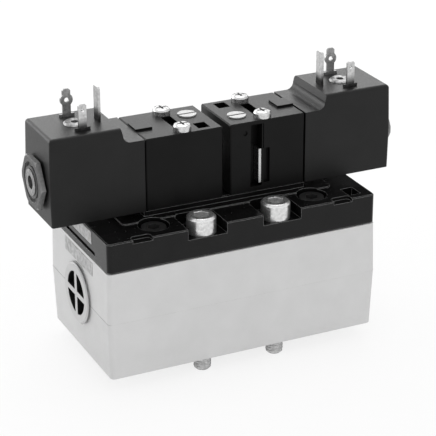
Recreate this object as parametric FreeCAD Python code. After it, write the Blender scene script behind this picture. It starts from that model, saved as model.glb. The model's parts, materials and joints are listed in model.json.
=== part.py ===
import FreeCAD, Part
import math
import os

from FreeCAD import Vector

# Directional control valve for compressed air: a die-cast body with a spool, a plate on top
# that carries two solenoid pilots, and four screws that fix it all to a sub-base.
# Millimetres. X runs along the spool, Y across, Z up. The origin lies on the plane of the
# four screw tips, under the middle of the body.

# Valve body, drafted both ways from its parting line
body_length = 100.0
body_width = 53.8
body_height = 38.4
parting_height = 20.5
lower_set_in = 0.63
upper_set_in = 0.39
body_corner_r = 1.6

# Spool bore, its galleries and the piston chambers at both ends
bore_height = 21.2
spool_bore_r = 7.0
gallery_pitch = 10.5
gallery_width = 4.6
gallery_r = 9.0
chamber_r = 10.75

# Ports in the mounting face and the gasket that seals them
port_width = 6.0
port_length = 8.0
port_corner_r = 0.8
port_offset = 8.0
port_rim = 0.8
port_web = 6.4
base_gasket_length = 56.0
base_gasket_width = 29.0
base_gasket_t = 1.5
base_gasket_proud = 0.3
base_gasket_corner_r = 6.0
gasket_play = 0.2

# Screws that fix the valve to its sub-base, M6
screw_x = 13.8
screw_edge = 5.35
screw_r = 3.0
screw_length = 51.2
screw_head_r = 5.0
screw_head_h = 6.0
screw_head_chamfer = 0.7
screw_tip_chamfer = 0.6
screw_thread_r = 2.9
screw_thread_gap = 0.2
socket_flats = 5.0
socket_depth = 3.0
screw_hole_play = 0.3

# Plate between the body and the pilots, a little smaller than the body all round
plate_set_in = 0.55
plate_thickness = 10.3
plate_gasket_t = 0.5
plate_gasket_inset = 0.6
plate_corner_r = 1.4
plate_edge = 0.35
notch_width = 14.2
notch_depth = 3.8
notch_back = 7.5
notch_corner_r = 2.5
pad_length = 60.0
pad_width = 21.6
pad_height = 2.5
pad_edge = 0.4
ledge_length = 78.0
ledge_width = 28.2
ledge_height = 0.4
end_groove_height = 2.3
end_groove_tall = 1.4
end_groove_deep = 1.2
end_groove_length = 29.4
pocket_x = 43.0
pocket_y = 20.5
pocket_long = 4.6
pocket_wide = 6.0
pocket_deep = 3.0
scallop_x = 37.0
scallop_long = 7.0
scallop_wide = 3.0
scallop_deep = 1.2
scallop_corner_r = 1.2

# Screws that fix the plate to the body, M5
plate_screw_x = 29.5
plate_screw_y = 17.5
plate_screw_r = 2.5
plate_screw_head_r = 4.25
plate_screw_head_h = 5.0
plate_screw_seat = 5.6
plate_screw_grip = 8.0
counterbore_r = 5.3
plate_socket_flats = 4.0
plate_socket_depth = 2.5

# Air passages
supply_bore_r = 1.1
signal_bore_r = 1.1
channel_width = 3.0
channel_depth = 2.0

# End plugs
plug_proud = 1.2
plug_length = 7.6
plug_fit = 0.05
plug_flange = 0.5
plug_groove_depth = 1.2
plug_rim = 3.0
plug_window_depth = 5.2
plug_rib = 1.9
plug_edge = 0.4
plug_nose_length = 2.2
plug_nose_r = 8.6
plug_seal_width = 1.6
plug_seal_depth = 1.2
key_width = 2.4
key_height = 1.2
key_depth = 2.0
key_set_in = 0.9
key_play = 0.2

# Spool, pistons and their seals
spool_stroke = 6.0
running_clearance = 0.05
end_clearance = 0.1
spool_core_r = 4.2
land_width = 3.2
end_land = 27.8
spool_seal_width = 1.8
spool_seal_depth = 1.2
piston_thickness = 5.6
piston_hub_r = 3.0
piston_seal_width = 1.8
piston_seal_depth = 1.5

# Pilot housings, one at each side of the middle
pilot_gap = 2.8
housing_length = 27.9
housing_width = 23.8
housing_height = 25.0
housing_edge = 0.4
pilot_gasket_t = 0.5
pilot_gasket_inset = 0.8
pilot_screw_x = 14.8
pilot_screw_y = 8.6
pilot_screw_r = 1.5
pilot_waist_r = 1.3
pilot_screw_head_r = 3.0
pilot_screw_head_h = 2.4
pilot_screw_dome = 0.9
pilot_screw_grip = 7.0
driver_slot_width = 0.8
driver_slot_length = 3.6
driver_slot_depth = 1.1
trench_width = 3.4
trench_depth = 2.2
trench_gap = 0.4
top_pocket_x = 7.2
top_pocket_y = 7.3
top_pocket_long = 4.2
top_pocket_wide = 5.0
top_pocket_deep = 3.0
front_groove_x = 8.9
front_groove_depth = 4.2
front_groove_foot = 1.4
front_groove_head = 1.2
dimple_x = 6.8
dimple_below = 3.8
dimple_r = 0.9
dimple_depth = 0.5
tongue_reach = 6.0
tongue_width = 6.8
tongue_height = 0.7

# Manual override
override_x = 7.3
override_y = 4.2
override_head_r = 3.25
override_head_h = 3.3
override_proud = 0.4
override_stem_r = 1.9
override_stem_length = 6.5
override_travel = 1.0
override_slot_width = 0.9
override_slot_depth = 0.6
override_spring_room = 2.6
override_spring_turns = 2.5
override_spring_wire = 0.45

# Armature tube, fixed core and armature
tube_height = 12.1
tube_r = 4.5
tube_bore_r = 3.55
tube_seat_x = 11.0
collar_r = 6.0
collar_fit = 0.05
lock_flange = 1.0
lock_groove_width = 1.15
lock_groove_r = 4.4
tube_seal_x = 23.0
tube_seal_width = 1.8
tube_seal_depth = 1.2
radial_hole_x = 18.0
radial_hole_r = 0.8
stub_proud = 0.3
core_fit = 0.02
core_socket_r = 2.3
core_socket_depth = 3.0
nozzle_r = 1.6
nozzle_length = 1.0
nozzle_bore_r = 0.6
armature_length = 27.0
armature_travel = 0.8
seal_disc_r = 2.3
seal_disc_t = 1.6
seal_disc_play = 0.05
spring_pocket_r = 2.2
spring_pocket_depth = 8.0
armature_spring_turns = 4.5
armature_spring_wire = 0.5
spring_side_play = 0.25

# Plate that locks the tube in its housing
lock_plate_t = 1.0
lock_plate_low = 2.4
lock_plate_tall = 12.3
lock_plate_reach = 14.0
lock_plate_set_back = 0.3
lock_slot_play = 0.1
lock_window_x = 14.95
lock_window_width = 2.3
lock_window_depth = 1.4
front_line_x = 13.7
front_line_width = 0.3
front_line_depth = 0.5

# Coils
seam = 0.4
coil_length = 33.3
coil_below = 12.5
coil_above = 18.0
coil_step_x = 37.8
coil_step_lean = 0.6
coil_step_r = 2.7
coil_end_draft = 0.6
coil_end_low_draft = 0.3
coil_parting_height = 2.2
coil_top_r = 1.3
coil_corner_r = 0.8
coil_bore_play = 0.1

# Coil nut and washer
nut_flats = 16.6
nut_thickness = 1.8
nut_chamfer = 0.6
nut_turn = 30.0
nut_fit = 0.05
nut_ring_inner_r = 5.5
nut_ring_outer_r = 6.9
nut_ring_depth = 0.8
washer_t = 0.4
washer_r = 7.0

# Connector tabs and threaded insert on each coil
contact_x = 49.3
contact_spacing = 14.4
contact_t = 0.8
contact_stem = 2.8
contact_eye_r = 2.2
contact_eye_hole_r = 0.8
contact_eye_height = 5.8
contact_height = 9.6
plain_contact_height = 9.0
plain_contact_hole_below = 2.2
plain_contact_hole_r = 0.5
contact_foot = 5.2
contact_foot_h = 1.0
contact_tip = 0.6
earth_x = 41.3
earth_width = 4.0
earth_height = 11.6
tab_root = 3.0
tab_play = 0.05
insert_x = 49.3
insert_r = 3.8
insert_thread_r = 1.25
insert_length = 6.0
insert_proud = 0.6
insert_edge = 0.5

# Plate and screws follow the body's outline
plate_length = body_length - 2 * plate_set_in
plate_width = body_width - 2 * plate_set_in
screw_y = plate_width / 2 - screw_edge

# Heights that follow from the sizes above
seat_height = body_height + plate_gasket_t + plate_thickness - notch_depth
face_z = screw_length - seat_height
body_top = face_z + body_height
plate_bottom = body_top + plate_gasket_t
plate_top = plate_bottom + plate_thickness
pad_top = plate_top + pad_height
housing_bottom = pad_top + pilot_gasket_t
housing_top = housing_bottom + housing_height
bore_z = face_z + bore_height
tube_z = housing_bottom + tube_height
coil_bottom = tube_z - coil_below
coil_top = tube_z + coil_above

# Places along the spool axis
plug_face = body_length / 2 + plug_proud
plug_back = plug_face - plug_length
piston_inner = plug_back - end_clearance - piston_thickness - spool_stroke
signal_x = plug_back + plug_nose_length / 2
chamber_floor = piston_inner - end_clearance
middle_land = (gallery_pitch - spool_stroke) / 2
outer_land = (3 * gallery_pitch + spool_stroke) / 2

# Places along a pilot, outwards from the middle of the valve
housing_inner = pilot_gap / 2
housing_outer = housing_inner + housing_length
collar_outer = housing_outer
coil_inner = housing_outer + seam
coil_outer = coil_inner + coil_length
lock_groove_x = tube_seat_x + lock_flange
nut_inner = coil_outer + washer_t
nut_outer = nut_inner + nut_thickness
stub_end = nut_outer + stub_proud
armature_inner = tube_seat_x + nozzle_length + seal_disc_play
armature_outer = armature_inner + armature_length
core_inner = armature_outer + armature_travel + running_clearance

PORT_NUMBERS = (-2, -1, 0, 1, 2)
MIDDLE = Vector(0, 0, 0)
UP = Vector(0, 0, 1)


def box(x0, x1, y0, y1, z0, z1):
    return Part.makeBox(x1 - x0, y1 - y0, z1 - z0, Vector(x0, y0, z0))


def rod_x(r, x0, x1, y, z):
    return Part.makeCylinder(r, x1 - x0, Vector(x0, y, z), Vector(1, 0, 0))


def rod_z(r, z0, z1, x, y):
    return Part.makeCylinder(r, z1 - z0, Vector(x, y, z0), UP)


def ring_x(r_out, r_in, x0, x1, y, z):
    return rod_x(r_out, x0, x1, y, z).cut(rod_x(r_in, x0, x1, y, z))


def rounded_outline(length, width, r, z):
    """Rectangle with round corners, centred on the Z axis."""
    a = length / 2
    b = width / 2
    corners = ((a - r, b - r, 0), (r - a, b - r, 90), (r - a, r - b, 180), (a - r, r - b, 270))
    arcs = []
    for x, y, start in corners:
        circle = Part.Circle(Vector(x, y, z), UP, r)
        arcs.append(circle.toShape(math.radians(start), math.radians(start + 90)))
    edges = []
    for i, arc in enumerate(arcs):
        edges.append(arc)
        after = arcs[(i + 1) % 4]
        edges.append(Part.makeLine(arc.lastVertex().Point, after.firstVertex().Point))
    return Part.Wire(Part.__sortEdges__(edges))


def rounded_block(length, width, r, z0, z1):
    face = Part.Face(rounded_outline(length, width, r, z0))
    return face.extrude(Vector(0, 0, z1 - z0))


def drafted_block(low, high, r, z0, z1):
    wires = [rounded_outline(low[0], low[1], r, z0), rounded_outline(high[0], high[1], r, z1)]
    return Part.makeLoft(wires, True, True)


def hexagon_z(flats, x, y, z0, z1):
    r = flats / 2 / math.cos(math.pi / 6)
    points = []
    for i in range(7):
        a = math.pi / 3 * i
        points.append(Vector(x + r * math.cos(a), y + r * math.sin(a), z0))
    return Part.Face(Part.makePolygon(points)).extrude(Vector(0, 0, z1 - z0))


def revolved_x(outline, z):
    """Turns a closed outline of (x, radius) points about the axis at height z."""
    points = []
    for x, r in outline:
        points.append(Vector(x, 0, z + r))
    points.append(points[0])
    face = Part.Face(Part.makePolygon(points))
    return face.revolve(Vector(0, 0, z), Vector(1, 0, 0), 360)


def revolved_z(outline, x, y):
    """Turns a closed outline of (radius, z) points about the vertical axis through x, y."""
    points = []
    for r, z in outline:
        points.append(Vector(x + r, y, z))
    points.append(points[0])
    face = Part.Face(Part.makePolygon(points))
    return face.revolve(Vector(x, y, 0), UP, 360)


def coil_spring(r, wire, turns, length):
    """Compression spring of square wire on the Z axis, from z = 0 to z = length."""
    rise = length - wire
    helix = Part.makeHelix(rise / turns, rise, r)
    h = wire / 2
    section = Part.makePolygon([
        Vector(r - h, 0, -h), Vector(r + h, 0, -h), Vector(r + h, 0, h),
        Vector(r - h, 0, h), Vector(r - h, 0, -h)])
    spring = Part.Wire(helix).makePipeShell([section], True, True)
    spring.translate(Vector(0, 0, h))
    return spring


def turned_round(shape):
    """The same piece on the other pilot, half a turn about the Z axis away."""
    copy = shape.copy()
    copy.rotate(MIDDLE, UP, 180)
    return copy


def four_corners(x, y):
    return [(x, y), (-x, y), (-x, -y), (x, -y)]


def port_place(number):
    """Supply and exhaust ports stand on the front side, outlets on the back side."""
    side = 1 if number % 2 else -1
    return number * gallery_pitch, side * port_offset


def port_block(rim, z0, z1, x, y):
    block = rounded_block(port_width + 2 * rim, port_length + 2 * rim, port_corner_r + rim, z0, z1)
    block.translate(Vector(x, y, 0))
    return block


def valve_body():
    low = (body_length - 2 * lower_set_in, body_width - 2 * lower_set_in)
    middle = (body_length, body_width)
    high = (body_length - 2 * upper_set_in, body_width - 2 * upper_set_in)
    parting_z = face_z + parting_height
    body = drafted_block(low, middle, body_corner_r, face_z, parting_z)
    body = body.fuse(drafted_block(middle, high, body_corner_r, parting_z, body_top))
    half = body_length / 2
    cuts = [rod_x(spool_bore_r, -half, half, 0, bore_z)]
    for side in (-1, 1):
        outer = side * half
        inner = side * chamber_floor
        cuts.append(rod_x(chamber_r, min(outer, inner), max(outer, inner), 0, bore_z))
        signal = rod_z(signal_bore_r, bore_z, body_top, side * signal_x, 0)
        cuts.append(signal)
        key_inner = side * (half - key_depth)
        key_z = bore_z - chamber_r - key_height
        key = box(min(outer, key_inner), max(outer, key_inner), -key_width / 2, key_width / 2,
                  key_z, bore_z)
        cuts.append(key)
    for number in PORT_NUMBERS:
        x, y = port_place(number)
        cuts.append(rod_x(gallery_r, x - gallery_width / 2, x + gallery_width / 2, 0, bore_z))
        cuts.append(port_block(0, face_z, bore_z - port_web, x, y))
    cuts.append(rod_z(supply_bore_r, bore_z, body_top, 0, 0))
    recess = base_gasket_t - base_gasket_proud
    cuts.append(rounded_block(base_gasket_length, base_gasket_width, base_gasket_corner_r,
                              face_z, face_z + recess))
    for x, y in four_corners(screw_x, screw_y):
        cuts.append(rod_z(screw_r + screw_hole_play, face_z, body_top, x, y))
    for x, y in four_corners(plate_screw_x, plate_screw_y):
        cuts.append(rod_z(plate_screw_r, body_top - plate_screw_grip, body_top, x, y))
    return body.cut(cuts).removeSplitter()


def base_gasket():
    gasket = rounded_block(base_gasket_length - 2 * gasket_play, base_gasket_width - 2 * gasket_play,
                           base_gasket_corner_r - gasket_play, face_z - base_gasket_proud,
                           face_z + base_gasket_t - base_gasket_proud)
    holes = []
    for number in PORT_NUMBERS:
        x, y = port_place(number)
        holes.append(port_block(port_rim, face_z - base_gasket_proud, bore_z, x, y))
    return gasket.cut(holes)


def mounting_screw(x, y):
    seat = face_z + seat_height
    top = seat + screw_head_h
    tip = seat - screw_length
    thread_end = face_z - screw_thread_gap
    outline = (
        (0, tip), (screw_thread_r - screw_tip_chamfer, tip),
        (screw_thread_r, tip + screw_tip_chamfer), (screw_thread_r, thread_end),
        (screw_r, thread_end), (screw_r, seat), (screw_head_r, seat),
        (screw_head_r, top - screw_head_chamfer),
        (screw_head_r - screw_head_chamfer, top), (0, top))
    screw = revolved_z(outline, x, y)
    return screw.cut(hexagon_z(socket_flats, x, y, top - socket_depth, top))


def plate_screw(x, y):
    seat = plate_top - plate_screw_seat
    top = seat + plate_screw_head_h
    tip = body_top - plate_screw_grip
    screw = rod_z(plate_screw_r, tip, seat, x, y)
    screw = screw.fuse(rod_z(plate_screw_head_r, seat, top, x, y))
    return screw.cut(hexagon_z(plate_socket_flats, x, y, top - plate_socket_depth, top))


def plate_passages(z0, z1):
    """Air passages between body and pilots, as far as they cross the gasket under the plate."""
    passages = [rod_z(supply_bore_r, z0, z1, 0, 0)]
    for side in (-1, 1):
        passages.append(rod_z(signal_bore_r, z0, z1, side * signal_x, 0))
    return passages


def plate_gasket():
    gasket = rounded_block(plate_length - 2 * plate_gasket_inset, plate_width - 2 * plate_gasket_inset,
                           plate_corner_r, body_top, plate_bottom)
    holes = plate_passages(body_top, plate_bottom)
    for x, y in four_corners(screw_x, screw_y):
        holes.append(rod_z(screw_r + screw_hole_play, body_top, plate_bottom, x, y))
    for x, y in four_corners(plate_screw_x, plate_screw_y):
        holes.append(rod_z(plate_screw_r + screw_hole_play, body_top, plate_bottom, x, y))
    return gasket.cut(holes)


def screw_notch(side_x, side_y):
    """Open notch at the plate's long edge, around the head of a mounting screw."""
    depth = plate_width / 2 - screw_y + notch_back
    notch = rounded_block(notch_width, 2 * depth, notch_corner_r,
                          plate_top - notch_depth, pad_top)
    notch.translate(Vector(side_x * screw_x, side_y * plate_width / 2, 0))
    return notch


def pilot_plate():
    plate = rounded_block(plate_length, plate_width, plate_corner_r, plate_bottom, plate_top)
    top_edges = [e for e in plate.Edges if e.BoundBox.ZMin > plate_top - plate_edge]
    plate = plate.makeChamfer(plate_edge, top_edges)
    pad = box(-pad_length / 2, pad_length / 2, -pad_width / 2, pad_width / 2, plate_top, pad_top)
    pad_edges = [e for e in pad.Edges if e.BoundBox.ZMin > pad_top - pad_edge]
    pad = pad.makeChamfer(pad_edge, pad_edges)
    ledge = rounded_block(ledge_length, ledge_width, plate_corner_r, plate_top,
                          plate_top + ledge_height)
    plate = plate.fuse([ledge, pad])
    cuts = []
    for x, y in four_corners(screw_x, screw_y):
        cuts.append(screw_notch(math.copysign(1, x), math.copysign(1, y)))
        cuts.append(rod_z(screw_r + screw_hole_play, plate_bottom, plate_top, x, y))
    for x, y in four_corners(plate_screw_x, plate_screw_y):
        cuts.append(rod_z(counterbore_r, plate_top - plate_screw_seat, pad_top, x, y))
        cuts.append(rod_z(plate_screw_r + screw_hole_play, plate_bottom, plate_top, x, y))
    for x, y in four_corners(scallop_x, plate_width / 2):
        scallop = rounded_block(scallop_long, 2 * scallop_wide, scallop_corner_r,
                                plate_top - scallop_deep, plate_top)
        scallop.translate(Vector(x, y, 0))
        cuts.append(scallop)
    half = plate_length / 2
    groove_z = plate_bottom + end_groove_height
    gallery_z = plate_bottom + plate_thickness / 2
    for side in (-1, 1):
        outer = side * half
        inner = side * (half - end_groove_deep)
        cuts.append(box(min(outer, inner), max(outer, inner), -end_groove_length / 2,
                        end_groove_length / 2, groove_z - end_groove_tall / 2,
                        groove_z + end_groove_tall / 2))
        x = side * pocket_x
        y = -side * pocket_y
        cuts.append(box(x - pocket_long / 2, x + pocket_long / 2, y - pocket_wide / 2,
                        y + pocket_wide / 2, plate_top - pocket_deep, plate_top))
        outlet = side * radial_hole_x
        cuts.append(rod_z(signal_bore_r, plate_bottom, pad_top, outlet, 0))
        x0 = min(outlet, side * signal_x)
        x1 = max(outlet, side * signal_x)
        cuts.append(box(x0, x1, -channel_width / 2, channel_width / 2, plate_bottom,
                        plate_bottom + channel_depth))
        cuts.append(rod_z(signal_bore_r, plate_bottom, plate_bottom + channel_depth,
                          side * signal_x, 0))
        inlet = side * override_x
        cuts.append(rod_z(supply_bore_r, gallery_z, pad_top, inlet, 0))
        for screw_side in (-1, 1):
            cuts.append(rod_z(pilot_screw_r, pad_top - pilot_screw_grip, pad_top,
                              side * pilot_screw_x, screw_side * pilot_screw_y))
    cuts.append(rod_z(supply_bore_r, plate_bottom, gallery_z, 0, 0))
    cuts.append(rod_x(supply_bore_r, -override_x, override_x, 0, gallery_z))
    return plate.cut(cuts).removeSplitter()


def end_plug():
    """Plug at the +X end, with a cross of ribs in its face."""
    r = chamber_r - plug_fit
    plug = rod_x(r, plug_back, plug_face, 0, bore_z)
    rim_edges = [e for e in plug.Edges if e.BoundBox.XMin > plug_face - plug_edge]
    plug = plug.makeChamfer(plug_edge, rim_edges)
    window = rod_x(r - plug_rim, plug_face - plug_window_depth, plug_face, 0, bore_z)
    window = window.cut(box(plug_back, plug_face, -r, r, bore_z - plug_rib / 2, bore_z + plug_rib / 2))
    window = window.cut(box(plug_back, plug_face, -plug_rib / 2, plug_rib / 2, bore_z - r, bore_z + r))
    plug = plug.cut(window)
    nose_x = plug_back + plug_nose_length
    plug = plug.cut(ring_x(chamber_r, plug_nose_r, plug_back, nose_x, 0, bore_z))
    half = body_length / 2
    seal_x = (nose_x + half - key_depth) / 2
    seal = ring_x(r, r - plug_seal_depth, seal_x - plug_seal_width / 2,
                  seal_x + plug_seal_width / 2, 0, bore_z)
    groove = ring_x(r, r - plug_groove_depth, half, plug_face - plug_flange, 0, bore_z)
    plug = plug.cut([seal, groove])
    key = box(half - key_depth, half - key_set_in, -key_width / 2 + key_play,
              key_width / 2 - key_play, bore_z - chamber_r - key_height + key_play,
              bore_z - r + plug_rim / 2)
    return plug.fuse(key), seal


def spool_centre():
    """The spool rests against the left plug, so its middle lies half a stroke to the left."""
    return -spool_stroke / 2


def land_places():
    """Middles of the six lands: two by the supply, two by the exhausts, two at the ends."""
    one_side = (middle_land, outer_land, end_land)
    places = [spool_centre() - x for x in one_side] + [spool_centre() + x for x in one_side]
    return sorted(places)


def spool():
    r = spool_bore_r - running_clearance
    middle = spool_centre()
    end = piston_inner + spool_stroke / 2
    outline = [(middle - end, 0), (middle - end, piston_hub_r)]
    neck_r = piston_hub_r
    for land in land_places():
        start = land - land_width / 2
        stop = land + land_width / 2
        groove_start = land - spool_seal_width / 2
        groove_stop = land + spool_seal_width / 2
        outline += [(start, neck_r), (start, r), (groove_start, r)]
        outline += [(groove_start, r - spool_seal_depth), (groove_stop, r - spool_seal_depth)]
        outline += [(groove_stop, r), (stop, r), (stop, spool_core_r)]
        neck_r = spool_core_r
    outline[-1] = (stop, piston_hub_r)
    outline += [(middle + end, piston_hub_r), (middle + end, 0)]
    return revolved_x(outline, bore_z)


def spool_seals():
    r = spool_bore_r - running_clearance
    seals = []
    for land in land_places():
        seals.append(ring_x(r, r - spool_seal_depth, land - spool_seal_width / 2,
                            land + spool_seal_width / 2, 0, bore_z))
    return Part.makeCompound(seals)


def piston(side):
    """Piston on one end of the spool, with its seal."""
    r = chamber_r - running_clearance
    inner = piston_inner + spool_stroke / 2
    outer = inner + piston_thickness
    seal_x = (inner + outer) / 2
    disc = rod_x(r, inner, outer, 0, bore_z)
    seal = ring_x(r, r - piston_seal_depth, seal_x - piston_seal_width / 2,
                  seal_x + piston_seal_width / 2, 0, bore_z)
    disc = disc.cut(seal)
    if side < 0:
        disc = turned_round(disc)
        seal = turned_round(seal)
    shift = Vector(spool_centre(), 0, 0)
    disc.translate(shift)
    seal.translate(shift)
    return disc, seal


def lock_plate():
    """Steel plate pushed in from the front, behind the flange of the armature tube."""
    x0 = lock_groove_x + (lock_groove_width - lock_plate_t) / 2
    front = -housing_width / 2 + lock_plate_set_back
    low = housing_bottom + lock_plate_low
    plate = box(x0, x0 + lock_plate_t, front, front + lock_plate_reach, low, low + lock_plate_tall)
    neck_r = lock_groove_r + lock_slot_play
    plate = plate.cut(rod_x(neck_r, x0, x0 + lock_plate_t, 0, tube_z))
    return plate.cut(box(x0, x0 + lock_plate_t, 0, front + lock_plate_reach, tube_z - neck_r,
                         low + lock_plate_tall))


def pilot_housing():
    half = housing_width / 2
    housing = box(housing_inner, housing_outer, -half, half, housing_bottom, housing_top)
    rim = [e for e in housing.Edges if e.BoundBox.ZMax > housing_top - housing_edge]
    housing = housing.makeChamfer(housing_edge, rim)
    cuts = []
    for side in (-1, 1):
        y = side * pilot_screw_y
        cuts.append(rod_z(pilot_waist_r + screw_hole_play / 2, housing_bottom, housing_top,
                          pilot_screw_x, y))
    trench_end = pilot_screw_y - pilot_screw_head_r - trench_gap
    cuts.append(box(pilot_screw_x - trench_width / 2, pilot_screw_x + trench_width / 2,
                    -trench_end, trench_end, housing_top - trench_depth, housing_top))
    cuts.append(box(top_pocket_x - top_pocket_long / 2, top_pocket_x + top_pocket_long / 2,
                    top_pocket_y - top_pocket_wide / 2, top_pocket_y + top_pocket_wide / 2,
                    housing_top - top_pocket_deep, housing_top))
    x0 = lock_groove_x
    x1 = lock_groove_x + lock_groove_width
    groove_top = housing_top - front_groove_head
    cuts.append(box(front_groove_x, x1, -half, front_groove_depth - half,
                    housing_bottom + front_groove_foot, groove_top))
    cuts.append(disc_y(dimple_r, -half, dimple_depth, dimple_x, housing_top - dimple_below))
    step_z = override_step_z()
    cuts.append(rod_z(override_head_r + override_play(), step_z, housing_top, override_x, -override_y))
    stem_floor = override_tip_z() - override_travel - end_clearance
    cuts.append(rod_z(override_stem_r + override_play(), stem_floor, housing_top,
                      override_x, -override_y))
    cuts.append(rod_x(collar_r + collar_fit, tube_seat_x, housing_outer, 0, tube_z))
    cuts.append(rod_z(signal_bore_r, housing_bottom, tube_z, radial_hole_x, 0))
    cuts.append(rod_z(supply_bore_r, housing_bottom, tube_z, override_x, 0))
    slot_low = housing_bottom + lock_plate_low - lock_slot_play
    slot_high = slot_low + lock_plate_tall + 2 * lock_slot_play
    slot_back = -half + lock_plate_set_back + lock_plate_reach + lock_slot_play
    cuts.append(box(x0, x1, -half, slot_back, slot_low, slot_high))
    cuts.append(box(lock_window_x - lock_window_width / 2, lock_window_x + lock_window_width / 2,
                    -half, lock_window_depth - half, slot_low, slot_high))
    cuts.append(box(front_line_x - front_line_width / 2, front_line_x + front_line_width / 2,
                    -half, front_line_depth - half, slot_high, groove_top))
    housing = housing.cut(cuts)
    nozzle = rod_x(nozzle_r, override_x, tube_seat_x + nozzle_length, 0, tube_z)
    tongue = box(housing_outer - tongue_reach, housing_outer, -tongue_width / 2, tongue_width / 2,
                 housing_top, housing_top + tongue_height)
    housing = housing.fuse([nozzle, tongue])
    housing = housing.cut(rod_x(nozzle_bore_r, override_x, tube_seat_x + nozzle_length, 0, tube_z))
    return housing.removeSplitter()


def override_play():
    return running_clearance


def override_top_z():
    return housing_top + override_proud


def override_tip_z():
    return override_top_z() - override_head_h - override_stem_length


def override_step_z():
    return override_top_z() - override_head_h - override_spring_room


def override_button():
    top = override_top_z()
    under = top - override_head_h
    button = rod_z(override_head_r, under, top, override_x, -override_y)
    button = button.fuse(rod_z(override_stem_r, override_tip_z(), under, override_x, -override_y))
    slot = box(override_x - override_head_r, override_x + override_head_r,
               -override_y - override_slot_width / 2, -override_y + override_slot_width / 2,
               top - override_slot_depth, top)
    return button.cut(slot)


def override_spring():
    r = (override_head_r + override_stem_r) / 2
    spring = coil_spring(r, override_spring_wire, override_spring_turns, override_spring_room)
    spring.translate(Vector(override_x, -override_y, override_step_z()))
    return spring


def pilot_gasket():
    half = housing_width / 2 - pilot_gasket_inset
    gasket = box(housing_inner + pilot_gasket_inset, housing_outer - pilot_gasket_inset,
                 -half, half, pad_top, housing_bottom)
    holes = [rod_z(signal_bore_r, pad_top, housing_bottom, radial_hole_x, 0),
             rod_z(supply_bore_r, pad_top, housing_bottom, override_x, 0)]
    for side in (-1, 1):
        holes.append(rod_z(pilot_waist_r + screw_hole_play / 2, pad_top, housing_bottom,
                           pilot_screw_x, side * pilot_screw_y))
    return gasket.cut(holes)


def pilot_screw(y):
    seat = housing_top
    top = seat + pilot_screw_head_h
    tip = pad_top - pilot_screw_grip
    outline = (
        (0, tip), (pilot_screw_r, tip), (pilot_screw_r, pad_top), (pilot_waist_r, pad_top),
        (pilot_waist_r, seat), (pilot_screw_head_r, seat),
        (pilot_screw_head_r, top - pilot_screw_dome),
        (pilot_screw_head_r - pilot_screw_dome * 0.4, top - pilot_screw_dome * 0.35),
        (pilot_screw_head_r - pilot_screw_dome * 1.3, top), (0, top))
    screw = revolved_z(outline, pilot_screw_x, y)
    long = driver_slot_length / 2
    wide = driver_slot_width / 2
    along = box(pilot_screw_x - long, pilot_screw_x + long, y - wide, y + wide,
                top - driver_slot_depth, top)
    across = box(pilot_screw_x - wide, pilot_screw_x + wide, y - long, y + long,
                 top - driver_slot_depth, top)
    return screw.cut([along, across])


def armature_tube():
    outline = (
        (tube_seat_x, tube_bore_r), (tube_seat_x, collar_r), (lock_groove_x, collar_r),
        (lock_groove_x, lock_groove_r), (lock_groove_x + lock_groove_width, lock_groove_r),
        (lock_groove_x + lock_groove_width, collar_r), (tube_seal_x, collar_r),
        (tube_seal_x, collar_r - tube_seal_depth),
        (tube_seal_x + tube_seal_width, collar_r - tube_seal_depth),
        (tube_seal_x + tube_seal_width, collar_r), (collar_outer, collar_r),
        (collar_outer, tube_r), (stub_end, tube_r), (stub_end, tube_bore_r))
    tube = revolved_x(outline, tube_z)
    return tube.cut(rod_z(radial_hole_r, housing_bottom, tube_z, radial_hole_x, 0))


def tube_seal():
    return ring_x(collar_r, collar_r - tube_seal_depth, tube_seal_x, tube_seal_x + tube_seal_width,
                  0, tube_z)


def fixed_core():
    core = rod_x(tube_bore_r - core_fit, core_inner, stub_end, 0, tube_z)
    return core.cut(rod_x(core_socket_r, stub_end - core_socket_depth, stub_end, 0, tube_z))


def armature():
    body = rod_x(tube_bore_r - running_clearance, armature_inner, armature_outer, 0, tube_z)
    body = body.cut(rod_x(seal_disc_r, armature_inner, armature_inner + seal_disc_t, 0, tube_z))
    return body.cut(rod_x(spring_pocket_r, armature_outer - spring_pocket_depth, armature_outer,
                          0, tube_z))


def armature_seal():
    return rod_x(seal_disc_r, armature_inner, armature_inner + seal_disc_t, 0, tube_z)


def armature_spring():
    """Return spring between the pocket of the armature and the fixed core."""
    start = armature_outer - spring_pocket_depth
    r = spring_pocket_r - spring_side_play - armature_spring_wire / 2
    spring = coil_spring(r, armature_spring_wire, armature_spring_turns, core_inner - start)
    spring.rotate(MIDDLE, Vector(0, 1, 0), 90)
    spring.translate(Vector(start, 0, tube_z))
    return spring


def coil_outline():
    """Side view of a coil: a low shelf against the pilot, a hollow step and a tall block."""
    parting_z = tube_z + coil_parting_height
    step_top = Vector(coil_step_x, 0, coil_top)
    step_foot = Vector(coil_step_x - coil_step_lean, 0, housing_top + coil_step_r)
    hollow_x = coil_step_x - coil_step_lean - coil_step_r
    bend = coil_step_r * (1 - math.sqrt(0.5))
    hollow_middle = Vector(hollow_x + coil_step_r - bend, 0, housing_top + bend)
    hollow_end = Vector(hollow_x, 0, housing_top)
    inner_top = Vector(coil_inner, 0, housing_top)
    inner_low = Vector(coil_inner, 0, coil_bottom)
    outer_low = Vector(coil_outer - coil_end_low_draft, 0, coil_bottom)
    outer_parting = Vector(coil_outer, 0, parting_z)
    outer_top = Vector(coil_outer - coil_end_draft, 0, coil_top)
    edges = [
        Part.makeLine(step_top, step_foot),
        Part.Arc(step_foot, hollow_middle, hollow_end).toShape(),
        Part.makeLine(hollow_end, inner_top),
        Part.makeLine(inner_top, inner_low),
        Part.makeLine(inner_low, outer_low),
        Part.makeLine(outer_low, outer_parting),
        Part.makeLine(outer_parting, outer_top),
        Part.makeLine(outer_top, step_top)]
    return Part.Wire(edges)


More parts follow.
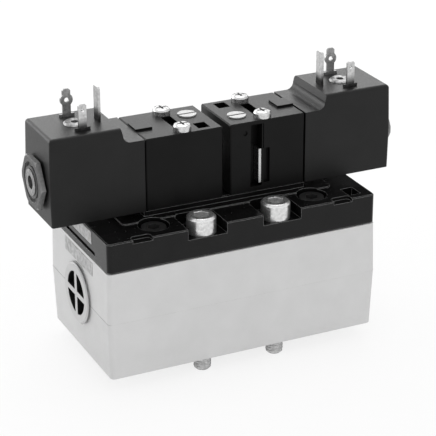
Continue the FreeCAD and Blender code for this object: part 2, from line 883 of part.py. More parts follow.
def solenoid_coil():
    half = housing_width / 2
    face = Part.Face(coil_outline())
    coil = face.extrude(Vector(0, housing_width, 0))
    coil.translate(Vector(0, -half, 0))
    end_x = coil_outer - coil_end_draft - coil_end_low_draft
    sides = []
    tops = []
    for edge in coil.Edges:
        b = edge.BoundBox
        if b.XMin > end_x and b.ZLength > 1:
            sides.append(edge)
        elif b.XMin > end_x and b.ZMin > coil_top - 1:
            tops.append(edge)
    coil = coil.makeFillet(coil_corner_r, sides)
    tops = [e for e in coil.Edges if e.BoundBox.XMin > end_x - 1 and e.BoundBox.ZMin > coil_top - 0.01
            and e.BoundBox.YLength > half]
    coil = coil.makeFillet(coil_top_r, tops)
    cuts = [rod_x(tube_r + coil_bore_play, coil_inner, coil_outer, 0, tube_z)]
    for tab in (plain_contact(-1), plain_contact(1), earth_tab()):
        b = tab.BoundBox
        cuts.append(box(b.XMin - tab_play, b.XMax + tab_play, b.YMin - tab_play, b.YMax + tab_play,
                        coil_top - tab_root, coil_top))
    cuts.append(rod_z(insert_r, coil_top + insert_proud - insert_length, coil_top, insert_x, 0))
    return coil.cut(cuts).removeSplitter()


def contact_blank(side, height):
    """Foot and stem of a contact tab, its wide face towards Y."""
    y0 = side * contact_spacing / 2 - contact_t / 2
    foot = box(contact_x - contact_foot / 2, contact_x + contact_foot / 2, y0, y0 + contact_t,
               coil_top - tab_root, coil_top + contact_foot_h)
    half = contact_stem / 2
    top = coil_top + height
    points = (
        Vector(contact_x - half, y0, coil_top), Vector(contact_x + half, y0, coil_top),
        Vector(contact_x + half, y0, top - contact_tip),
        Vector(contact_x + half - contact_tip, y0, top),
        Vector(contact_x - half + contact_tip, y0, top),
        Vector(contact_x - half, y0, top - contact_tip), Vector(contact_x - half, y0, coil_top))
    stem = Part.Face(Part.makePolygon(points)).extrude(Vector(0, contact_t, 0))
    return foot.fuse(stem)


def disc_y(r, y0, thickness, x, z):
    return Part.makeCylinder(r, thickness, Vector(x, y0, z), Vector(0, 1, 0))


def eyed_contact(side):
    y0 = side * contact_spacing / 2 - contact_t / 2
    eye_z = coil_top + contact_eye_height
    eye = disc_y(contact_eye_r, y0, contact_t, contact_x, eye_z)
    hole = disc_y(contact_eye_hole_r, y0, contact_t, contact_x, eye_z)
    return contact_blank(side, contact_height).fuse(eye).cut(hole).removeSplitter()


def plain_contact(side):
    y0 = side * contact_spacing / 2 - contact_t / 2
    hole_z = coil_top + plain_contact_height - plain_contact_hole_below
    hole = disc_y(plain_contact_hole_r, y0, contact_t, contact_x, hole_z)
    return contact_blank(side, plain_contact_height).cut(hole).removeSplitter()


def earth_tab():
    """Plain tab, its wide face along the valve."""
    x0 = earth_x - contact_t / 2
    half = earth_width / 2
    top = coil_top + earth_height
    points = (
        Vector(x0, -half, coil_top - tab_root), Vector(x0, half, coil_top - tab_root),
        Vector(x0, half, top - contact_tip), Vector(x0, half - contact_tip, top),
        Vector(x0, contact_tip - half, top), Vector(x0, -half, top - contact_tip),
        Vector(x0, -half, coil_top - tab_root))
    return Part.Face(Part.makePolygon(points)).extrude(Vector(contact_t, 0, 0))


def connector_insert():
    top = coil_top + insert_proud
    low = top - insert_length
    outline = (
        (insert_thread_r, low), (insert_r, low), (insert_r, top - insert_edge),
        (insert_r - insert_edge, top), (insert_thread_r, top))
    return revolved_z(outline, insert_x, 0)


def coil_nut():
    nut = hexagon_z(nut_flats, 0, 0, nut_inner, nut_outer)
    corner_r = nut_flats / 2 / math.cos(math.pi / 6)
    dome = Part.makeCone(corner_r + nut_thickness, corner_r - nut_chamfer,
                         nut_thickness + nut_chamfer, Vector(0, 0, nut_inner - nut_chamfer), UP)
    nut = nut.common(dome)
    ring = rod_z(nut_ring_outer_r, nut_outer - nut_ring_depth, nut_outer, 0, 0)
    ring = ring.cut(rod_z(nut_ring_inner_r, nut_outer - nut_ring_depth, nut_outer, 0, 0))
    nut = nut.cut([ring, rod_z(tube_r + nut_fit, nut_inner, nut_outer, 0, 0)])
    nut.rotate(MIDDLE, UP, nut_turn)
    nut.rotate(MIDDLE, Vector(0, 1, 0), 90)
    nut.translate(Vector(0, 0, tube_z))
    return nut


def coil_washer():
    return ring_x(washer_r, tube_r + nut_fit, coil_outer, nut_inner, 0, tube_z)


def write(name, shape):
    shape.exportStep("parts/%s.step" % name)


def write_pair(name, shape):
    """A pilot piece: as built on the right, half a turn round on the left."""
    write(name + "_right", shape)
    write(name + "_left", turned_round(shape))


def main():
    os.makedirs("parts", exist_ok=True)
    write("valve_body", valve_body())
    write("base_gasket", base_gasket())
    write("plate_gasket", plate_gasket())
    write("pilot_plate", pilot_plate())
    write("mounting_screws", Part.makeCompound(
        [mounting_screw(x, y) for x, y in four_corners(screw_x, screw_y)]))
    write("plate_screws", Part.makeCompound(
        [plate_screw(x, y) for x, y in four_corners(plate_screw_x, plate_screw_y)]))
    plug, plug_seal = end_plug()
    write_pair("end_plug", plug)
    write_pair("end_plug_seal", plug_seal)
    write("spool", spool())
    write("spool_seals", spool_seals())
    for side, word in ((1, "right"), (-1, "left")):
        disc, seal = piston(side)
        write("piston_" + word, disc)
        write("piston_seal_" + word, seal)
    write_pair("pilot_housing", pilot_housing())
    write_pair("pilot_gasket", pilot_gasket())
    write_pair("pilot_screws", Part.makeCompound(
        [pilot_screw(-pilot_screw_y), pilot_screw(pilot_screw_y)]))
    write_pair("override_button", override_button())
    write_pair("override_spring", override_spring())
    write_pair("armature_tube", armature_tube())
    write_pair("tube_seal", tube_seal())
    write_pair("tube_lock_plate", lock_plate())
    write_pair("fixed_core", fixed_core())
    write_pair("armature", armature())
    write_pair("armature_seal", armature_seal())
    write_pair("armature_spring", armature_spring())
    write_pair("solenoid_coil", solenoid_coil())
    write_pair("coil_washer", coil_washer())
    write_pair("coil_nut", coil_nut())
    write("connector_tabs_right", Part.makeCompound(
        [plain_contact(-1), eyed_contact(1), earth_tab()]))
    write("connector_tabs_left", turned_round(Part.makeCompound(
        [eyed_contact(-1), plain_contact(1), earth_tab()])))
    write_pair("connector_insert", connector_insert())


main()
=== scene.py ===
import json
import math

import bmesh
import bpy
from mathutils import Matrix, Vector


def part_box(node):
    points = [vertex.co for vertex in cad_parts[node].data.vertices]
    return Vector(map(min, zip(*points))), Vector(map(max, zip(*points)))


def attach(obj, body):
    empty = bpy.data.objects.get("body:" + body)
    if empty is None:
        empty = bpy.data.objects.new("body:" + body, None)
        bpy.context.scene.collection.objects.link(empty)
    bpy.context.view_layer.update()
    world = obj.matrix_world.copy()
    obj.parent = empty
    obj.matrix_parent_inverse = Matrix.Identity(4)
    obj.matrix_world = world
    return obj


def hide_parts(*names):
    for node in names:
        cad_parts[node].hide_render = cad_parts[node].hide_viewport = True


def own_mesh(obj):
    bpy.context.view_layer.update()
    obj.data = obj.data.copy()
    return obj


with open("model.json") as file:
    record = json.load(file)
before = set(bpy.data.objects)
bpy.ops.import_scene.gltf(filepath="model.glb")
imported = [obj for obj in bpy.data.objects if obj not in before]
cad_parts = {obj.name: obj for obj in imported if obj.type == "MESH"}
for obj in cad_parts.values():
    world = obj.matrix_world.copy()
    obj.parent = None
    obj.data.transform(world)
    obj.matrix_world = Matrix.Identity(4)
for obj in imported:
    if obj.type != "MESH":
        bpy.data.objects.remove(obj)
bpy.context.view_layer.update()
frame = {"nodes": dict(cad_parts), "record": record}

MM = 0.001

# Sizes of the valve that the added pieces are fitted to, in metres
face_z = 5.8 * MM
parting_z = face_z + 20.5 * MM
body_top = face_z + 38.4 * MM
body_half_length = 50.0 * MM
body_half_width = 26.9 * MM
body_corner_r = 1.6 * MM
upper_set_in = 0.39 * MM
plate_half_length = 49.45 * MM
plate_bottom = body_top + 0.5 * MM
coil_top = face_z + 82.3 * MM

# Flash on the body's parting line, whose height on the long sides is a share of that on the ends
flash_out = 0.06 * MM
flash_tall = 0.34 * MM
flash_side_share = 0.15
flash_corner_steps = 6

# End plugs, whose windows and the key below them are lined with thin black sheets as painted shade
bore_z = face_z + 21.2 * MM
plug_face = body_half_length + 1.2 * MM
plug_window_floor = plug_face - 5.2 * MM
plug_window_r = 7.7 * MM
plug_half_rib = 0.95 * MM
plug_shade_paint = 0.06 * MM
plug_shade_paint_lap = 0.02 * MM
plug_shade_paint_set_back = 0.1 * MM
plug_key_half = 1.0 * MM
plug_key_low = 11.75 * MM
plug_key_high = 10.72 * MM
plug_key_face = body_half_length - 0.9 * MM

# Bare label strips on the left end of the body and of the plate
label_t = 0.12 * MM
label_sunk = 0.3 * label_t
body_label_half = 12.7 * MM
body_label_low = body_top - 5.9 * MM
body_label_high = body_top - 1.2 * MM
plate_label_half = 12.0 * MM
plate_label_low = plate_bottom + 4.9 * MM
plate_label_high = plate_bottom + 9.4 * MM

# Thread on the ends of the mounting screws
screw_x = 13.8 * MM
screw_y = 21.0 * MM
screw_thread_r = 2.9 * MM
screw_thread_pitch = 1.0 * MM
screw_thread_low = 0.8 * MM
screw_thread_high = 5.3 * MM
screw_thread_sunk = 0.05 * MM
screw_thread_proud = 0.16 * MM
screw_thread_half_foot = 0.36 * screw_thread_pitch
screw_thread_crest_share = 0.1

# Wire and turns of the springs that shorten along Z, under the buttons, and along X
spring_wire = {"z": 0.45 * MM, "x": 0.5 * MM}
spring_turns = {"z": 2.5, "x": 4.5}
spring_closed_turns = 0.5

# Where the connector tabs darken towards their roots, and where the rear ones begin
tab_dark_low = coil_top + 1.5 * MM
tab_dark_high = coil_top + 4.5 * MM
rear_tab_near = 4.5 * MM
rear_tab_far = 5.0 * MM

# How finishes vary: the range of noise used, the spread of roughness and the size of patches
noise_low = 0.3
noise_high = 0.7
roughness_spread = 0.15
patch_size = 0.9 * MM

# Cosines between which edges count as rounded over and take the painted highlight, and a face counts as
# an end face
edge_from = 0.995
edge_to = 0.9
end_face_from = 0.75
end_face_to = 0.95
sharp_angle = math.radians(32)

# Camera
image_size = 436
focal_px = 1758.8
camera_place = Vector((-236.49, -506.89, 288.22)) * MM
camera_yaw = math.radians(25.22)
camera_pitch = math.radians(23.50)
camera_roll = math.radians(-0.21)

# Strength of the studio's soft light in front and behind, how far round it turns from one to the
# other, how far the floor glows and reaches, and the point that the panels face, in metres
world_front = 1.34
world_back = 0.02
world_turn = 0.8
floor_glow = 0.8
floor_half = 4.0
studio_middle = (0, 0, 0.05)


def new_material(name):
    """A new material that holds only a surface shader and an output."""
    material = bpy.data.materials.new(name)
    material.use_nodes = True
    tree = material.node_tree
    tree.nodes.clear()
    shader = tree.nodes.new("ShaderNodeBsdfPrincipled")
    output = tree.nodes.new("ShaderNodeOutputMaterial")
    tree.links.new(shader.outputs["BSDF"], output.inputs["Surface"])
    return material, tree, shader


def noise(tree, coords, size, detail=3.0):
    node = tree.nodes.new("ShaderNodeTexNoise")
    node.inputs["Scale"].default_value = 1.0 / size
    node.inputs["Detail"].default_value = detail
    tree.links.new(coords, node.inputs["Vector"])
    return node.outputs["Fac"]


def spread(tree, value, low, high):
    """Maps a noise value onto the range from low to high."""
    node = tree.nodes.new("ShaderNodeMapRange")
    node.inputs["From Min"].default_value = noise_low
    node.inputs["From Max"].default_value = noise_high
    node.inputs["To Min"].default_value = low
    node.inputs["To Max"].default_value = high
    tree.links.new(value, node.inputs["Value"])
    return node.outputs["Result"]


def blend_colours(tree, factor, first, second):
    node = tree.nodes.new("ShaderNodeMix")
    node.data_type = "RGBA"
    tree.links.new(factor, node.inputs["Factor"])
    for socket, colour in ((node.inputs[6], first), (node.inputs[7], second)):
        if isinstance(colour, bpy.types.NodeSocket):
            tree.links.new(colour, socket)
        else:
            socket.default_value = (*colour, 1.0)
    return node.outputs[2]


def edge_highlight_mask(tree, bevel):
    """1 along rounded-over edges, where the painted highlight goes, and 0 on the flats."""
    geometry = tree.nodes.new("ShaderNodeNewGeometry")
    dot = tree.nodes.new("ShaderNodeVectorMath")
    dot.operation = "DOT_PRODUCT"
    tree.links.new(bevel, dot.inputs[0])
    tree.links.new(geometry.outputs["Normal"], dot.inputs[1])
    node = tree.nodes.new("ShaderNodeMapRange")
    node.inputs["From Min"].default_value = edge_from
    node.inputs["From Max"].default_value = edge_to
    tree.links.new(dot.outputs["Value"], node.inputs["Value"])
    return node.outputs["Result"]


def place_mask(tree, axis, low, high):
    """0 below low and 1 above high along an axis of the part."""
    coords = tree.nodes.new("ShaderNodeTexCoord").outputs["Object"]
    split = tree.nodes.new("ShaderNodeSeparateXYZ")
    tree.links.new(coords, split.inputs[0])
    node = tree.nodes.new("ShaderNodeMapRange")
    node.inputs["From Min"].default_value = low
    node.inputs["From Max"].default_value = high
    tree.links.new(split.outputs[axis], node.inputs["Value"])
    return node.outputs["Result"]


def end_face_mask(tree):
    """1 on faces that look along X and 0 on those that look across it."""
    normal = tree.nodes.new("ShaderNodeTexCoord").outputs["Normal"]
    split = tree.nodes.new("ShaderNodeSeparateXYZ")
    tree.links.new(normal, split.inputs[0])
    size = tree.nodes.new("ShaderNodeMath")
    size.operation = "ABSOLUTE"
    tree.links.new(split.outputs["X"], size.inputs[0])
    node = tree.nodes.new("ShaderNodeMapRange")
    node.inputs["From Min"].default_value = end_face_from
    node.inputs["From Max"].default_value = end_face_to
    tree.links.new(size.outputs[0], node.inputs["Value"])
    return node.outputs["Result"]


def retone(material, mask, tones):
    """Gives the places where mask is 0 two tones of their own, under the same mottling."""
    tree = material.node_tree
    shader = next(node for node in tree.nodes if node.type == "BSDF_PRINCIPLED")
    before = shader.inputs["Base Color"].links[0].from_socket
    coords = tree.nodes.new("ShaderNodeTexCoord").outputs["Object"]
    patches = spread(tree, noise(tree, coords, patch_size), 0.0, 1.0)
    other = blend_colours(tree, patches, tones[0], tones[1])
    colour = blend_colours(tree, mask, other, before)
    tree.links.new(colour, shader.inputs["Base Color"])
    return material


def grey(tone):
    return (tone, tone, tone)


def make_finish(name, light, dark, roughness, metallic=0.0, specular=0.5, mottle=8.0,
                grain=0.35, grain_depth=0.012, edge_highlight=None, edge_radius=0.18, rim_tint=1.0):
    """A finish in two tones, with mottling, a fine grain and softened edges, which may be painted
    lighter as a painted highlight. Sizes in mm.
    """
    material, tree, shader = new_material(name)
    coords = tree.nodes.new("ShaderNodeTexCoord").outputs["Object"]
    broad = noise(tree, coords, mottle * MM)
    fine = noise(tree, coords, grain * MM, 4.0)
    bevel = tree.nodes.new("ShaderNodeBevel")
    bevel.inputs["Radius"].default_value = edge_radius * MM
    colour = blend_colours(tree, spread(tree, broad, 0.0, 1.0), light, dark)
    # Rounded-over edges get a lighter colour, which is a painted highlight
    if edge_highlight:
        colour = blend_colours(tree, edge_highlight_mask(tree, bevel.outputs["Normal"]), colour, edge_highlight)
    tree.links.new(colour, shader.inputs["Base Color"])
    smoothest = roughness * (1 - roughness_spread)
    roughest = roughness * (1 + roughness_spread)
    tree.links.new(spread(tree, fine, smoothest, roughest), shader.inputs["Roughness"])
    bump = tree.nodes.new("ShaderNodeBump")
    bump.inputs["Distance"].default_value = grain_depth * MM
    tree.links.new(fine, bump.inputs["Height"])
    tree.links.new(bevel.outputs["Normal"], bump.inputs["Normal"])
    tree.links.new(bump.outputs["Normal"], shader.inputs["Normal"])
    shader.inputs["Metallic"].default_value = metallic
    shader.inputs["Specular IOR Level"].default_value = specular
    shader.inputs["Specular Tint"].default_value = (rim_tint, rim_tint, rim_tint, 1.0)
    return material


def make_finishes():
    finishes = {}
    # The body's rounded edges are painted lighter, as a painted highlight
    finishes["body"] = make_finish("cast_light_grey", grey(0.57), grey(0.54), 0.5,
                                   grain=0.9, grain_depth=0.02, edge_highlight=grey(0.66))
    # The flash is darker than the body, as painted shade along its small step
    finishes["flash"] = make_finish("flash_shade_grey", grey(0.42), grey(0.26), 0.6, mottle=4.0)
    finishes["plug"] = make_finish("plug_grey", grey(0.50), grey(0.46), 0.42)
    # Black for the sheets that paint shade into the end plugs' windows and key
    finishes["plug_shade_paint"] = make_finish("plug_shade_paint_black", grey(0.004), grey(0.007), 0.6,
                                         specular=0.2)
    # The plate's rounded edges are painted lighter, as a painted highlight
    finishes["plate"] = make_finish("plate_black", grey(0.002), grey(0.004), 0.24, specular=0.23,
                                    grain=1.4, grain_depth=0.004, edge_highlight=grey(0.24), edge_radius=0.22)
    finishes["pilot"] = make_finish("pilot_black", grey(0.0015), grey(0.003), 0.38, specular=0.15,
                                    grain=0.3, grain_depth=0.02)
    finishes["coil"] = make_finish("coil_black", grey(0.002), grey(0.004), 0.42, specular=0.3,
                                   grain=0.4, grain_depth=0.03)
    # The nut's flats are painted lighter than its end faces, as painted light on the flats
    nut = make_finish("nut_grey", grey(0.04), grey(0.012), 0.34, metallic=0.5, mottle=2.0)
    finishes["nut"] = retone(nut, end_face_mask(nut.node_tree), (grey(0.24), grey(0.17)))
    finishes["label"] = make_finish("label_grey", grey(0.24), grey(0.50), 0.45, mottle=1.3, grain=0.3)
    # The zinc's rounded edges are painted near white, as a painted highlight
    finishes["zinc"] = make_finish("zinc_bright", grey(0.72), grey(0.50), 0.26, metallic=0.92,
                                   mottle=1.2, grain=0.5, grain_depth=0.01, edge_highlight=grey(0.85),
                                   edge_radius=0.12, rim_tint=0.1)
    # The screws' rims and rounded edges are painted near white, as a painted highlight
    screws = make_finish("screw_zinc", grey(0.80), grey(0.58), 0.3, metallic=0.92, mottle=1.0,
                         grain=1.0, grain_depth=0.06, edge_highlight=grey(0.95), edge_radius=0.5, rim_tint=0.4)
    # The screws are darker below the body's mounting face and reach their full tone at the body's top
    finishes["screws"] = retone(screws, place_mask(screws.node_tree, "Z", face_z, body_top),
                                (grey(0.62), grey(0.34)))
    finishes["thread"] = make_finish("thread_zinc", grey(0.62), grey(0.34), 0.35, metallic=0.6,
                                     mottle=1.0, rim_tint=0.4)
    finishes["black_steel"] = make_finish("black_steel", grey(0.02), grey(0.035), 0.35,
                                          metallic=0.4, mottle=1.5)
    finishes["steel"] = make_finish("turned_steel", grey(0.62), grey(0.52), 0.28, metallic=1.0,
                                    mottle=1.2)
    finishes["tube"] = make_finish("tube_steel", grey(0.34), grey(0.10), 0.35, metallic=0.8,
                                   mottle=1.1)
    tabs = make_finish("tinned_metal", grey(0.66), grey(0.44), 0.3, metallic=0.9, mottle=1.0,
                       grain_depth=0.02, edge_radius=0.08, rim_tint=0.5)
    tabs = retone(tabs, place_mask(tabs.node_tree, "Z", tab_dark_low, tab_dark_high),
                  (grey(0.10), grey(0.05)))
    finishes["tabs"] = retone(tabs, place_mask(tabs.node_tree, "Y", rear_tab_far, rear_tab_near),
                              (grey(0.42), grey(0.26)))
    finishes["insert"] = make_finish("insert_metal", grey(0.60), grey(0.10), 0.4, metallic=0.9,
                                     mottle=1.6, grain_depth=0.04, rim_tint=0.5)
    finishes["button"] = make_finish("button_metal", grey(0.42), grey(0.34), 0.4, metallic=0.6,
                                     mottle=1.2)
    finishes["spool"] = make_finish("turned_aluminium", grey(0.78), grey(0.68), 0.3, metallic=1.0,
                                    mottle=1.2)
    finishes["rubber"] = make_finish("seal_rubber", grey(0.012), grey(0.02), 0.7)
    return finishes


# Nodes whose finish is not the one that most of their slot has
own_finish = {
    "mounting_screws": "screws",
    "armature_tube_left": "tube",
    "armature_tube_right": "tube",
    "fixed_core_left": "tube",
    "fixed_core_right": "tube",
    "connector_tabs_left": "tabs",
    "connector_tabs_right": "tabs",
    "connector_insert_left": "insert",
    "connector_insert_right": "insert",
}


def shade_smooth(thing):
    for polygon in thing.data.polygons:
        polygon.use_smooth = True
    modifier = thing.modifiers.new("sharp_edges", "EDGE_SPLIT")
    modifier.split_angle = sharp_angle
    modifier.use_edge_sharp = False


def dress_frame(finishes):
    """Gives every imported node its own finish, or else the one of its slot."""
    for part in frame["record"]["subparts"]:
        thing = frame["nodes"][part["node"]]
        thing.data.materials.clear()
        finish = own_finish.get(part["node"], part["material_slot"])
        thing.data.materials.append(finishes[finish])
        shade_smooth(thing)


def add_mesh(name, shape, finish, finishes):
    """Makes a piece of the valve from a shape, which it uses up."""
    bmesh.ops.recalc_face_normals(shape, faces=shape.faces)
    mesh = bpy.data.meshes.new(name)
    shape.to_mesh(mesh)
    shape.free()
    thing = bpy.data.objects.new(name, mesh)
    bpy.context.scene.collection.objects.link(thing)
    thing.data.materials.append(finishes[finish])
    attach(thing, "valve")
    return thing


def thread_ridge(name, x, y, finishes):
    """The thread that stands on a mounting screw's end, as a helical ridge."""
    steps = 28
    turns = (screw_thread_high - screw_thread_low) / screw_thread_pitch
    root = screw_thread_r - screw_thread_sunk
    crest = screw_thread_r + screw_thread_proud
    foot = screw_thread_half_foot
    tip = screw_thread_crest_share * foot
    rings = []
    for i in range(int(turns * steps) + 1):
        angle = 2 * math.pi * i / steps
        z = screw_thread_low + screw_thread_pitch * i / steps
        along = Vector((math.cos(angle), math.sin(angle), 0))
        ring = []
        for radius, rise in ((root, -foot), (crest, -tip), (crest, tip), (root, foot)):
            ring.append(along * radius + Vector((x, y, z + rise)))
        rings.append(ring)
    shape = bmesh.new()
    skin(shape, rings)
    return add_mesh(name, shape, "thread", finishes)


def add_spring(spring, finishes):
    """A coil spring of round wire with closed ends, made in place of its node, which it hides."""
    letter = spring["mode"][-1]
    axis = "xyz".index(letter)
    first, second = [i for i in range(3) if i != axis]
    low, high = (Vector(corner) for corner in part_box(spring["node"]))
    wire_r = spring_wire[letter] / 2
    coil_r = (high[first] - low[first]) / 2 - wire_r
    centre = (low + high) / 2
    length = high[axis] - low[axis]
    turns = spring_turns[letter]
    steps = 24
    sides = 10
    rings = []
    for i in range(int(turns * steps) + 1):
        turned = i / steps
        share = (turned - spring_closed_turns) / (turns - 2 * spring_closed_turns)
        share = min(max(share, 0), 1)
        angle = 2 * math.pi * turned
        ring = []
        for j in range(sides):
            around = 2 * math.pi * j / sides
            radius = coil_r + wire_r * math.cos(around)
            point = Vector((0, 0, 0))
            point[first] = centre[first] + radius * math.cos(angle)
            point[second] = centre[second] + radius * math.sin(angle)
            point[axis] = low[axis] + wire_r + share * (length - 2 * wire_r) + wire_r * math.sin(around)
            ring.append(point)
        rings.append(ring)
    shape = bmesh.new()
    skin(shape, rings)
    thing = add_mesh(spring["node"] + "_coil", shape, "steel", finishes)
    shade_smooth(thing)
    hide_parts(spring["node"])
    anchor = centre.copy()
    anchor[axis] = spring["fixed_end_%s_m" % letter]
    direction = Vector((0, 0, 0))
    direction[axis] = 1
    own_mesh(thing)


def add_springs(finishes):
    for joint in frame["record"]["behaviour"]["joints"]:
        for spring in joint.get("deforming_nodes", ()):
            add_spring(spring, finishes)


def add_threads(finishes):
    corners = [(x, y) for x in (-screw_x, screw_x) for y in (-screw_y, screw_y)]
    for number, (x, y) in enumerate(corners, 1):
        thread_ridge("screw_thread_%d" % number, x, y, finishes)


def skin(shape, rings, closed=False):
    """Skins a row of equal rings of points, and caps the two ends unless the row is closed."""
    loops = []
    for ring in rings:
        loops.append([shape.verts.new(point) for point in ring])
    pairs = list(zip(loops, loops[1:]))
    if closed:
        pairs.append((loops[-1], loops[0]))
    for first, second in pairs:
        for i in range(len(first)):
            j = (i + 1) % len(first)
            shape.faces.new((first[i], second[i], second[j], first[j]))
    if not closed:
        shape.faces.new(loops[0])
        shape.faces.new(reversed(loops[-1]))


def end_label(name, half, low, high, low_x, high_x, finishes):
    """A bare strip on a face that looks towards -X and may lean from low_x to high_x."""
    corners = ((low_x, -half, low), (low_x, half, low), (high_x, half, high), (high_x, -half, high))
    rings = []
    for depth in (label_sunk, -label_t):
        rings.append([Vector((x + depth, y, z)) for x, y, z in corners])
    shape = bmesh.new()
    skin(shape, rings)
    return add_mesh(name, shape, "label", finishes)


def body_end_x(z):
    """Where the drafted left end of the body lies at a height above the parting line."""
    lean = upper_set_in * (z - parting_z) / (body_top - parting_z)
    return lean - body_half_length


def add_labels(finishes):
    end_label("body_label", body_label_half, body_label_low, body_label_high,
              body_end_x(body_label_low), body_end_x(body_label_high), finishes)
    end_label("plate_label", plate_label_half, plate_label_low, plate_label_high,
              -plate_half_length, -plate_half_length, finishes)


def add_parting_flash(finishes):
    """The fine line that the two halves of the die leave round the body, a real ridge whose darker
    finish is painted shade along its step.
    """
    rings = []
    centre_x = body_half_length - body_corner_r
    centre_y = body_half_width - body_corner_r
    for sx, sy, start in ((1, 1, 0), (-1, 1, 90), (-1, -1, 180), (1, -1, 270)):
        for step in range(flash_corner_steps + 1):
            angle = math.radians(start + 90 * step / flash_corner_steps)
            along = Vector((math.cos(angle), math.sin(angle), 0))
            corner = Vector((sx * centre_x, sy * centre_y, parting_z))
            tall = flash_tall * (flash_side_share + (1 - flash_side_share) * abs(along.x))
            proud = flash_out * abs(along.x)
            ring = []
            for out, rise in ((-flash_out, -0.5), (proud, -0.25), (proud, 0.25), (-flash_out, 0.5)):
                ring.append(corner + along * (body_corner_r + out) + Vector((0, 0, rise * tall)))
            rings.append(ring)
    shape = bmesh.new()
    skin(shape, rings, True)
    return add_mesh("parting_flash", shape, "flash", finishes)


def window_outline(x, inset, quarter):
    """The outline of one of the four windows between an end plug's ribs."""
    corner = plug_half_rib + inset
    radius = plug_window_r - inset
    start = math.asin(corner / radius)
    steps = 12
    outline = [Vector((corner, corner))]
    for i in range(steps + 1):
        angle = start + (math.pi / 2 - 2 * start) * i / steps
        outline.append(Vector((radius * math.cos(angle), radius * math.sin(angle))))
    turn = Matrix.Rotation(quarter * math.pi / 2, 2)
    ring = []
    for point in outline:
        y, z = turn @ point
        ring.append(Vector((x, y, bore_z + z)))
    return ring


def add_plug_shade_paint(name, side, finishes):
    """Thin black sheets lining an end plug's windows, and the key below it, as painted shade."""
    shape = bmesh.new()
    front = side * (plug_face - plug_shade_paint_set_back)
    behind = side * (plug_window_floor - plug_shade_paint_lap)
    floor = side * (plug_window_floor + plug_shade_paint)
    layers = ((behind, -plug_shade_paint_lap), (front, -plug_shade_paint_lap),
              (front, plug_shade_paint), (floor, plug_shade_paint))
    for quarter in range(4):
        skin(shape, [window_outline(x, inset, quarter) for x, inset in layers])
    rings = []
    for x in (plug_key_face - plug_shade_paint_lap, plug_key_face + plug_shade_paint):
        ring = []
        for y, drop in ((-1, plug_key_low), (1, plug_key_low), (1, plug_key_high), (-1, plug_key_high)):
            ring.append(Vector((side * x, y * plug_key_half, bore_z - drop)))
        rings.append(ring)
    skin(shape, rings)
    return add_mesh(name, shape, "plug_shade_paint", finishes)


def aim(thing, target):
    direction = Vector(target) - thing.location
    thing.rotation_mode = "QUATERNION"
    thing.rotation_quaternion = direction.to_track_quat("-Z", "Y")


def add_camera():
    forward = Vector((math.sin(camera_yaw) * math.cos(camera_pitch),
                      math.cos(camera_yaw) * math.cos(camera_pitch), -math.sin(camera_pitch)))
    level = Vector((math.cos(camera_yaw), -math.sin(camera_yaw), 0))
    raised = level.cross(forward)
    right = level * math.cos(camera_roll) + raised * math.sin(camera_roll)
    up = raised * math.cos(camera_roll) - level * math.sin(camera_roll)
    data = bpy.data.cameras.new("camera")
    data.sensor_width = 36.0
    data.lens = data.sensor_width * focal_px / image_size
    data.clip_start = 0.01
    camera = bpy.data.objects.new("camera", data)
    bpy.context.scene.collection.objects.link(camera)
    axes = Matrix((right, up, -forward)).transposed()
    camera.matrix_world = Matrix.Translation(camera_place) @ axes.to_4x4()
    bpy.context.scene.camera = camera


def add_light(name, place, target, width, height, power):
    data = bpy.data.lights.new(name, "AREA")
    data.shape = "RECTANGLE"
    data.size = width
    data.size_y = height
    data.energy = power
    light = bpy.data.objects.new(name, data)
    light.location = place
    bpy.context.scene.collection.objects.link(light)
    aim(light, target)


def seen_ray(tree):
    """1 for rays from the camera, and for those that gloss or glass sends on, else 0."""
    path = tree.nodes.new("ShaderNodeLightPath")
    value = path.outputs["Is Camera Ray"]
    for ray in ("Is Glossy Ray", "Is Transmission Ray"):
        either = tree.nodes.new("ShaderNodeMath")
        either.operation = "MAXIMUM"
        tree.links.new(value, either.inputs[0])
        tree.links.new(path.outputs[ray], either.inputs[1])
        value = either.outputs[0]
    return value


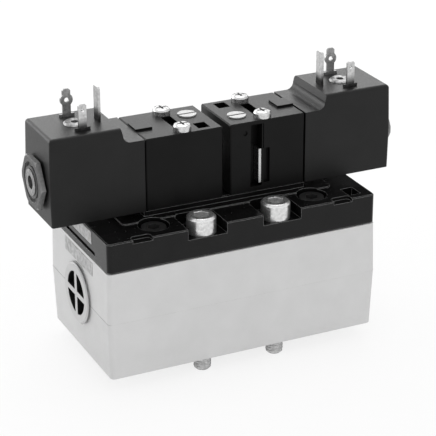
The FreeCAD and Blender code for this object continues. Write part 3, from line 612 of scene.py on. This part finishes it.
def add_world():
    """A white studio whose soft light comes from the camera's side."""
    world = bpy.data.worlds.new("studio")
    bpy.context.scene.world = world
    world.use_nodes = True
    tree = world.node_tree
    tree.nodes.clear()
    coords = tree.nodes.new("ShaderNodeTexCoord").outputs["Generated"]
    split = tree.nodes.new("ShaderNodeSeparateXYZ")
    tree.links.new(coords, split.inputs[0])
    depth = tree.nodes.new("ShaderNodeMapRange")
    depth.inputs["From Min"].default_value = -world_turn
    depth.inputs["From Max"].default_value = world_turn
    depth.inputs["To Min"].default_value = world_front
    depth.inputs["To Max"].default_value = world_back
    tree.links.new(split.outputs["Y"], depth.inputs["Value"])
    light = tree.nodes.new("ShaderNodeBackground")
    light.inputs["Color"].default_value = (1, 1, 1, 1)
    tree.links.new(depth.outputs["Result"], light.inputs["Strength"])
    seen = tree.nodes.new("ShaderNodeBackground")
    seen.inputs["Color"].default_value = (1, 1, 1, 1)
    seen.inputs["Strength"].default_value = 1.0
    mix = tree.nodes.new("ShaderNodeMixShader")
    output = tree.nodes.new("ShaderNodeOutputWorld")
    tree.links.new(seen_ray(tree), mix.inputs["Fac"])
    tree.links.new(light.outputs[0], mix.inputs[1])
    tree.links.new(seen.outputs[0], mix.inputs[2])
    tree.links.new(mix.outputs[0], output.inputs["Surface"])


def add_floor():
    """A pale floor that looks nearly white and keeps a soft shadow of the valve."""
    mesh = bpy.data.meshes.new("floor")
    half = floor_half
    corners = [(-half, -half, 0), (half, -half, 0), (half, half, 0), (-half, half, 0)]
    mesh.from_pydata(corners, [], [(0, 1, 2, 3)])
    floor = bpy.data.objects.new("floor", mesh)
    bpy.context.scene.collection.objects.link(floor)
    material, tree, shader = new_material("white_floor")
    shader.inputs["Base Color"].default_value = (0.9, 0.9, 0.9, 1)
    shader.inputs["Roughness"].default_value = 0.9
    shader.inputs["Specular IOR Level"].default_value = 0.1
    glow = tree.nodes.new("ShaderNodeEmission")
    glow.inputs["Color"].default_value = (1, 1, 1, 1)
    share = tree.nodes.new("ShaderNodeMath")
    share.operation = "MULTIPLY"
    share.inputs[1].default_value = floor_glow
    tree.links.new(seen_ray(tree), share.inputs[0])
    mix = tree.nodes.new("ShaderNodeMixShader")
    tree.links.new(share.outputs[0], mix.inputs["Fac"])
    tree.links.new(shader.outputs["BSDF"], mix.inputs[1])
    tree.links.new(glow.outputs[0], mix.inputs[2])
    output = next(node for node in tree.nodes if node.type == "OUTPUT_MATERIAL")
    tree.links.new(mix.outputs[0], output.inputs["Surface"])
    floor.data.materials.append(material)


def add_studio():
    """The surroundings, and three soft panels, placed in metres and of a power in watts."""
    add_world()
    add_floor()
    add_light("left_panel", (-0.42, 0.75, 0.22), studio_middle, width=1.5, height=0.4, power=5.2)
    add_light("rear_panel", (0.40, 0.85, 0.45), studio_middle, width=0.8, height=0.45, power=2.3)
    add_light("top_panel", (0.1, 0.35, 0.95), studio_middle, width=0.9, height=0.6, power=3.2)


def main():
    finishes = make_finishes()
    dress_frame(finishes)
    add_threads(finishes)
    add_springs(finishes)
    add_labels(finishes)
    add_parting_flash(finishes)
    # Black sheets in the end plugs, as painted shade
    add_plug_shade_paint("plug_shade_paint_left", -1, finishes)
    add_plug_shade_paint("plug_shade_paint_right", 1, finishes)
    add_studio()
    add_camera()
    bpy.context.scene.view_settings.view_transform = "Standard"


main()
